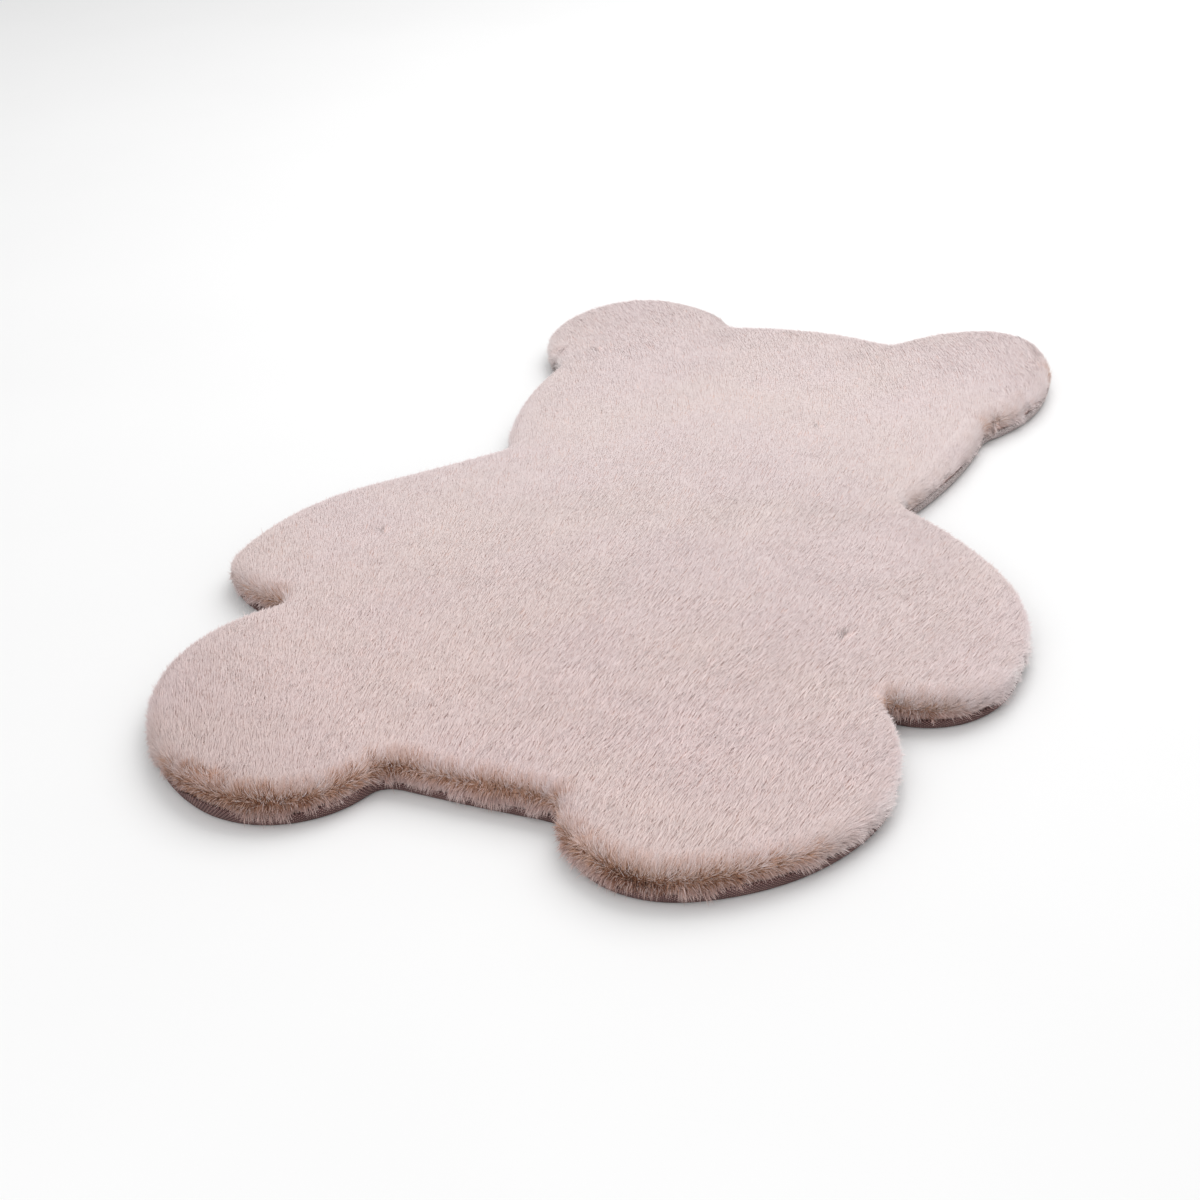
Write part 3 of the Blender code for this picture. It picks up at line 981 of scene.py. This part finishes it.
def rim_strands():
    """The strands of the roll and the side."""
    tries = RIM_STRANDS * 3
    way = rng.uniform(0, outline.length, tries)
    down = rng.uniform(0, section.length, tries)
    point, _, bend = outline.at(way)
    inset, _ = section.at(down)
    room = 1 + bend * inset  # an inset ring is shorter round a bulge, and longer round a notch
    room = room * (0.45 + 0.55 * smoothstep(*DENSE, down))
    bare, _, _ = stretch_notes(point)
    lowest = section.length - 0.0025 - 0.0050 * bare
    kept = (rng.uniform(0, 1.6, tries) < room) & (down < lowest)
    way, down = way[kept][:RIM_STRANDS], down[kept][:RIM_STRANDS]
    count = len(way)
    roots = rim_roots(way, down, rng.normal(0, PARTING_FUZZ, count))
    low = smoothstep(0.016, section.length - 0.003, down)
    droop = 0.40 + 0.35 * (1 - roots["footwards"])
    roots["droop"] = (droop * roots["over"] * (1 - 0.60 * roots["bare"]))[:, None]
    fringe = FRINGE_LENGTH * (1 - 0.45 * roots["bare"]) * (1 + mottle(way, way * 0, RAGS))
    lengths = (RIM_LENGTH * (1 - low) + fringe * low) * varied(count, LENGTH_SPREAD, 1.5)
    stray = rng.uniform(0, 1, count) < STRAY_SHARE
    lengths = lengths * (1 - 0.30 * roots["loose"]) * np.where(stray, STRAY_LENGTH, 1)
    widths = TOP_WIDTH + (RIM_WIDTH - TOP_WIDTH) * smoothstep(*THIN, down)
    widths = widths * varied(count, WIDTH_SPREAD, 1.7)
    x, _, own = towards_locks(way, down * 0.35, RIM_LOCK_SIZE, 9)
    lengths = lengths * (1 + 0.6 * (own - 0.5) * low)
    _, inwards, _ = outline.at(way)
    pull = RIM_GATHER * level(-inwards[:, 1], inwards[:, 0]) * x[:, None]
    roots["brown"] = roots["brown"] * (0.45 + 1.1 * own)
    footwards = roots["footwards"]
    roots["odd"] = odd_ones(count)
    roots["shift"] = 0.30 * (own - 0.6) * smoothstep(*SHIFTED, down) * (0.3 + 0.7 * footwards)
    share = smoothstep(*STEEP, down)
    leans = [above + (below - above) * share for above, below in zip(TOP_LEANS, RIM_LEANS)]
    deep = RIM_TONE + (FOOT_TONE - RIM_TONE) * footwards
    return strands(roots, lengths, widths, leans, pull, deep)


def parts_of(plan):
    """The part of the bear that each place belongs to, by number, and the parts' names."""
    band = np.where(plan[:, 1] > NECK_Y, 0, np.where(plan[:, 1] > HIP_Y, 1, 2))
    names = [f"fur_{part}_{side}" for part in ("head", "body", "leg") for side in ("left", "right")]
    return band * 2 + (plan[:, 0] > 0), names


def bake_places(piece):
    """Places on the bake's map: a cell for each patch of the plan, with shade across it and tone upwards."""
    low, span = piece["plan"].min(0), np.ptp(piece["plan"], axis=0) + 1e-6
    cell = np.clip(((piece["plan"] - low) / span * MAP_CELLS).astype(int), 0, MAP_CELLS - 1)
    shade, across = piece["hair"][:, :, 2], piece["hair"][:, :, 0]
    u = 0.1 + 0.8 * np.maximum(shade, 0) + MAP_STRAND_WIDTH * across
    v = 0.06 + 0.88 * piece["tone"]
    return (np.stack([u, v], 2) + cell[:, None, :]) / MAP_CELLS


def make_pile():
    """The pile, one piece for each part of the bear."""
    groups = [top_strands(), rim_strands()]
    pile = {key: np.concatenate([group[key] for group in groups]) for key in groups[0]}
    part, names = parts_of(pile["plan"])
    material = strand_material()
    for number, name in enumerate(names):
        mine = {key: value[part == number] for key, value in pile.items()}
        count = len(mine["points"])
        corners = (np.arange(count)[:, None] * 4 + np.array(KITE)).ravel()
        fur = make_mesh(name, mine["points"].reshape(-1, 3), corners, [3] * (2 * count), material)
        put(fur.data, "tone", "FLOAT", mine["tone"])
        put(fur.data, "hair", "FLOAT_VECTOR", mine["hair"])
        places = bake_places(mine).reshape(-1, 2)[corners]
        fur.data.uv_layers.new(name="OFBake").uv.foreach_set("vector", places.astype(np.float32).ravel())
        fur.data.normals_split_custom_set_from_vertices(mine["normals"].reshape(-1, 3))
        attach(fur, "root")


# ========== the studio
def make_camera():
    """The camera at the photograph's place."""
    azimuth, elevation, roll = (math.radians(angle) for angle in (AZIMUTH, ELEVATION, ROLL))
    flat = math.cos(elevation)
    back = Vector((math.sin(azimuth) * flat, -math.cos(azimuth) * flat, math.sin(elevation)))
    right = (-back).cross(Vector((0, 0, 1))).normalized()
    up = right.cross(-back)
    turned_right = math.cos(roll) * right + math.sin(roll) * up
    turned_up = math.cos(roll) * up - math.sin(roll) * right
    camera = link(bpy.data.objects.new("camera", bpy.data.cameras.new("camera")))
    camera.data.lens, camera.data.sensor_width = LENS, SENSOR
    axes = Matrix((turned_right, turned_up, back)).transposed().to_4x4()
    camera.matrix_world = Matrix.Translation(TARGET + back * DISTANCE) @ axes
    bpy.context.scene.camera = camera


def make_floor():
    """A plain pale floor."""
    nodes = Nodes("floor", FLOOR_ROUGHNESS)
    grain = nodes.noise(nodes.place(), 3.0, 2.0)
    colour = nodes.ramp(grain, ((0.0, (0.90,) * 3), (1.0, (0.93,) * 3)))
    square = FLOOR_SIDE / 2 * np.array([(-1, -1, 0), (1, -1, 0), (1, 1, 0), (-1, 1, 0)])
    square[:, 2] = -FLOOR_DROP
    floor = make_mesh("floor", square, [0, 1, 2, 3], [4], nodes.finish(colour, FLOOR_ROUGHNESS, 0.1))


def add_light(name, place, side, power):
    """A square soft light that faces the rug."""
    light = link(bpy.data.objects.new(name, bpy.data.lights.new(name, "AREA")))
    light.data.size, light.data.energy = side, power
    light.location = place
    light.rotation_euler = (-Vector(place)).to_track_quat("-Z", "Y").to_euler()


def make_light():
    """Soft white light all round, a broad light from beyond the head, and a weaker one from the feet."""
    world = bpy.data.worlds.new("studio")
    world.use_nodes = True
    background = world.node_tree.nodes["Background"]
    background.inputs["Color"].default_value = (*WHITE, 1)
    background.inputs["Strength"].default_value = WORLD_LIGHT
    bpy.context.scene.world = world
    for light in LIGHTS:
        add_light(*light)
    bpy.context.scene.view_settings.view_transform = "Standard"


outline = Outline()
section = Section(UNDERFUR_SECTION)
make_camera()
make_floor()
make_light()
make_backing()
make_underfur()
make_pile()
